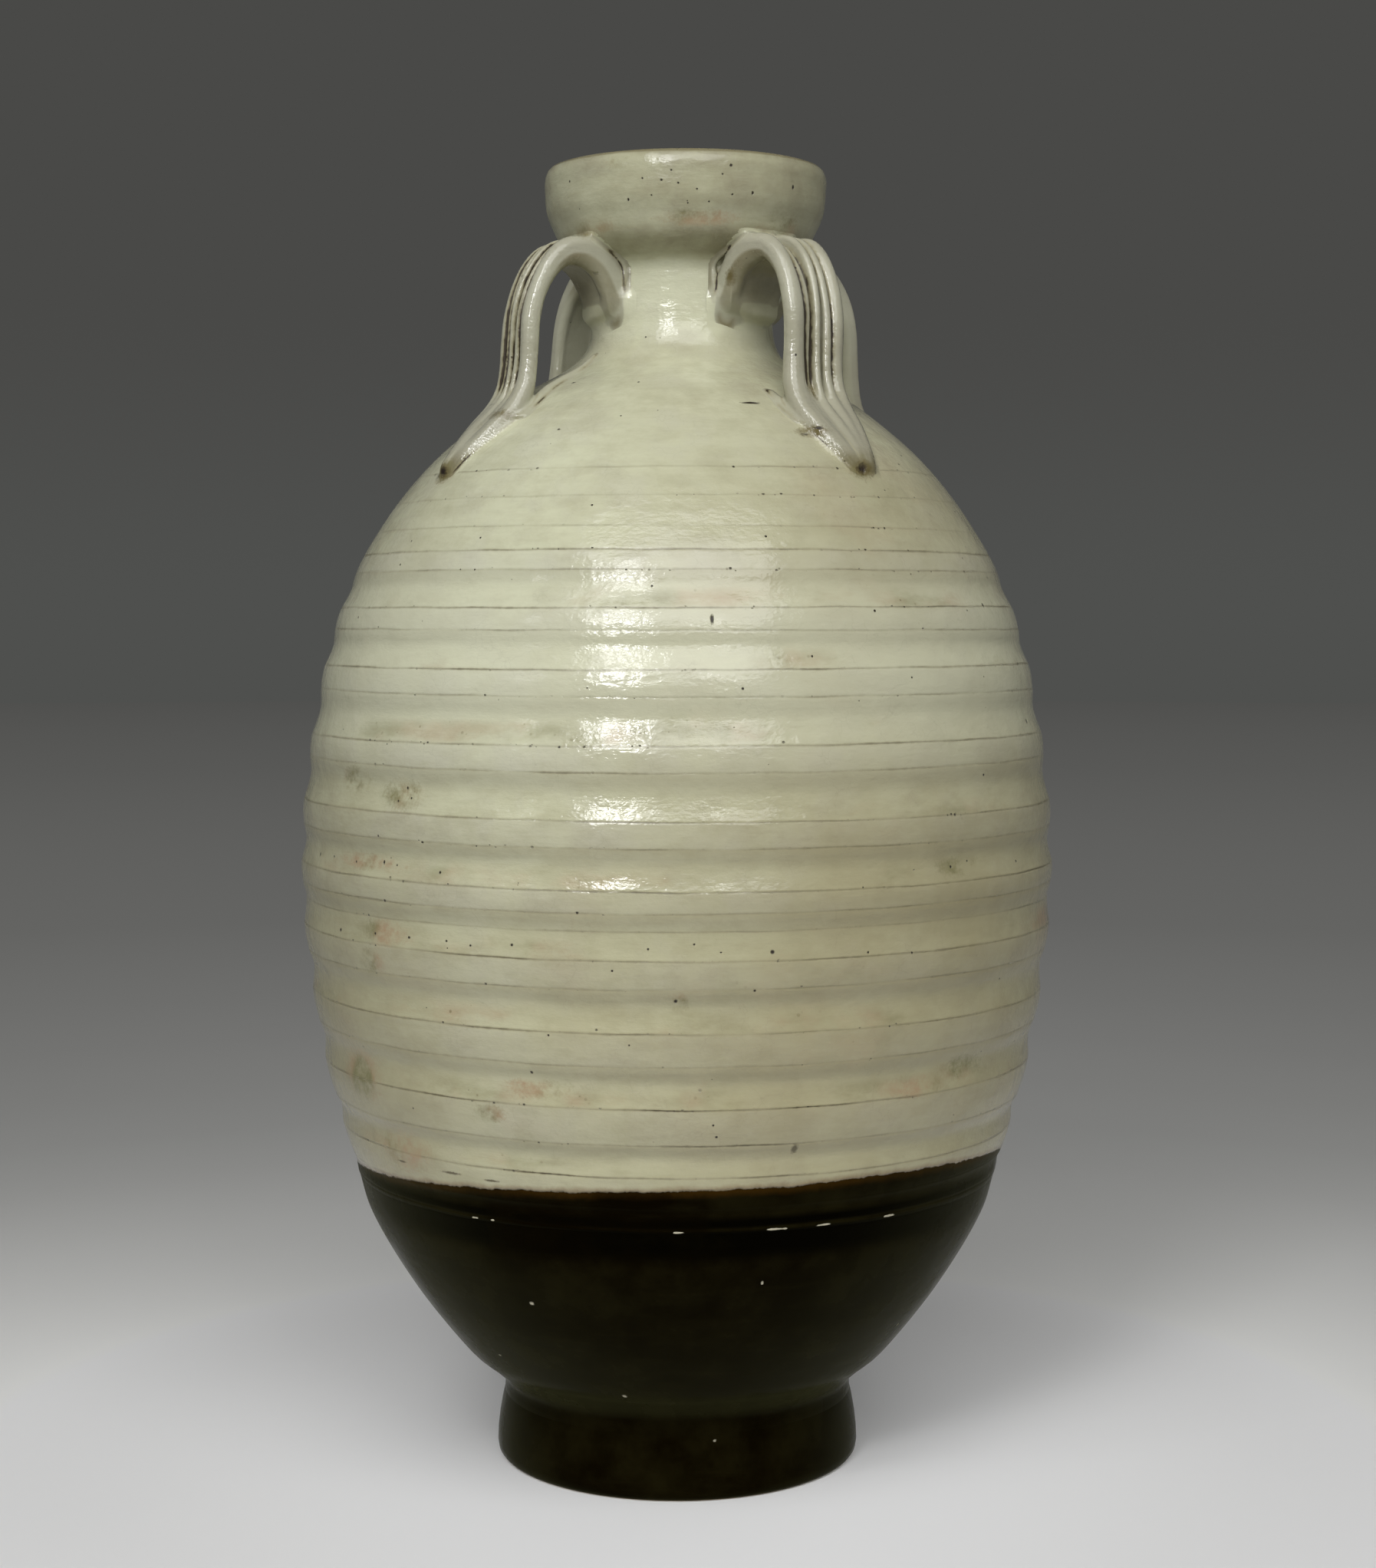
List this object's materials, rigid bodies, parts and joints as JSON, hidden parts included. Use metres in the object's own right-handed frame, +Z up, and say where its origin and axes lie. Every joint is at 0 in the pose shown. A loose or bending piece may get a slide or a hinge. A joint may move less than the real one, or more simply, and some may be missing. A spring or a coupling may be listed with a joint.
{
  "type": "four-handled vase",
  "caption": "Tall thrown stoneware vase with a ribbed belly, short neck, cup-shaped mouth and strap handles, cream glaze over a dark foot.",
  "frame": {"origin": "centre of the foot's resting face", "axes": "+Z up along the vase's turning axis, +X close to the east handle's bearing"},
  "size_m": [0.1954, 0.1954, 0.333],
  "materials": {
    "cream_glaze": "gloss",
    "dark_glaze": "gloss"
  },
  "bodies": {
    "root": {"foot_ring": "dark_glaze", "lower_body": "dark_glaze", "belly": "cream_glaze", "shoulder": "cream_glaze", "neck": "cream_glaze", "mouth_cup": "cream_glaze", "handle_east_strand_1": "cream_glaze", "handle_east_strand_2": "cream_glaze", "handle_east_strand_3": "cream_glaze", "handle_east_strand_4": "cream_glaze", "handle_east_strand_5": "cream_glaze", "handle_east_root_pad": "cream_glaze", "handle_east_tail": "cream_glaze", "handle_north_strand_1": "cream_glaze", "handle_north_strand_2": "cream_glaze", "handle_north_strand_3": "cream_glaze", "handle_north_strand_4": "cream_glaze", "handle_north_strand_5": "cream_glaze", "handle_north_root_pad": "cream_glaze", "handle_north_tail": "cream_glaze", "handle_west_strand_1": "cream_glaze", "handle_west_strand_2": "cream_glaze", "handle_west_strand_3": "cream_glaze", "handle_west_strand_4": "cream_glaze", "handle_west_strand_5": "cream_glaze", "handle_west_root_pad": "cream_glaze", "handle_west_tail": "cream_glaze", "handle_south_strand_1": "cream_glaze", "handle_south_strand_2": "cream_glaze", "handle_south_strand_3": "cream_glaze", "handle_south_strand_4": "cream_glaze", "handle_south_strand_5": "cream_glaze", "handle_south_root_pad": "cream_glaze", "handle_south_tail": "cream_glaze"}
  },
  "joints": []
}
